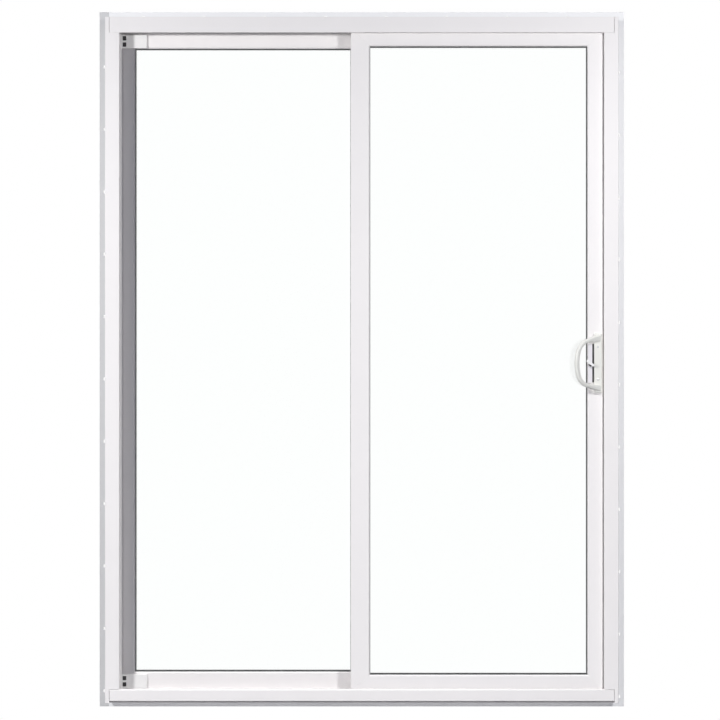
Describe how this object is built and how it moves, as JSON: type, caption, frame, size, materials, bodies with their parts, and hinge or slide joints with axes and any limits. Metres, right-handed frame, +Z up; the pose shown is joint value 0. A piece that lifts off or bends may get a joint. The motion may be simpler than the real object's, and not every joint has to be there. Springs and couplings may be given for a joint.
{
  "type": "sliding patio door",
  "caption": "White vinyl glass patio door in a nailing-fin frame: a fixed panel, a panel that slides past it on rollers, a loop pull handle and a thumb turn.",
  "frame": {"origin": "on the indoor face of the sill's nailing fin, half way along it and half way across its width", "axes": "+X towards the lock jamb, +Y outdoors, +Z up"},
  "size_m": [1.567, 0.1635, 2.075],
  "materials": {
    "vinyl": "extruded white vinyl with a soft sheen",
    "fin": "thin extruded white vinyl",
    "moulding": "moulded white plastic",
    "glass": "clear float glass",
    "gasket": "dark grey glazing seal",
    "spacer": "mill-finish glazing spacer",
    "track": "drawn aluminium",
    "steel": "stainless steel",
    "handle": "cream white powder coat",
    "pile": "grey woven pile"
  },
  "bodies": {
    "frame": {"left_nail_fin": "fin", "right_nail_fin": "fin", "head_nail_fin": "fin", "sill_nail_fin": "fin", "upper_retainer_clip": "moulding", "lower_retainer_clip": "moulding", "head": "vinyl", "sill": "vinyl", "left_jamb": "vinyl", "right_jamb": "vinyl", "sill_track": "track", "lock_keeper": "steel", "jamb_pile": "pile", "fixed_jamb_stile": "vinyl", "fixed_meeting_stile": "vinyl", "fixed_top_rail": "vinyl", "fixed_bottom_rail": "vinyl", "fixed_interlock": "vinyl", "fixed_inner_pane": "glass", "fixed_outer_pane": "glass", "fixed_inner_gasket": "gasket", "fixed_outer_gasket": "gasket", "fixed_glass_spacer": "spacer"},
    "sliding_panel": {"left_roller": "steel", "right_roller": "steel", "lock_faceplate": "steel", "inside_handle": "handle", "outside_pull": "handle", "sliding_meeting_stile": "vinyl", "sliding_lock_stile": "vinyl", "sliding_top_rail": "vinyl", "sliding_bottom_rail": "vinyl", "sliding_interlock": "vinyl", "sliding_inner_pane": "glass", "sliding_outer_pane": "glass", "sliding_inner_gasket": "gasket", "sliding_outer_gasket": "gasket", "sliding_glass_spacer": "spacer"},
    "thumb_turn": {"thumb_turn": "handle"}
  },
  "joints": [
    {"name": "panel_slide", "type": "slide", "parent": "frame", "child": "sliding_panel", "axis": [-1, 0, 0], "range_m": [0, 0.6]},
    {"name": "thumb_turn_hinge", "type": "hinge", "parent": "sliding_panel", "child": "thumb_turn", "pos_m": [0.6725, -0.076, 1.014], "axis": [0, 1, 0], "range_deg": [0, 90]}
  ]
}
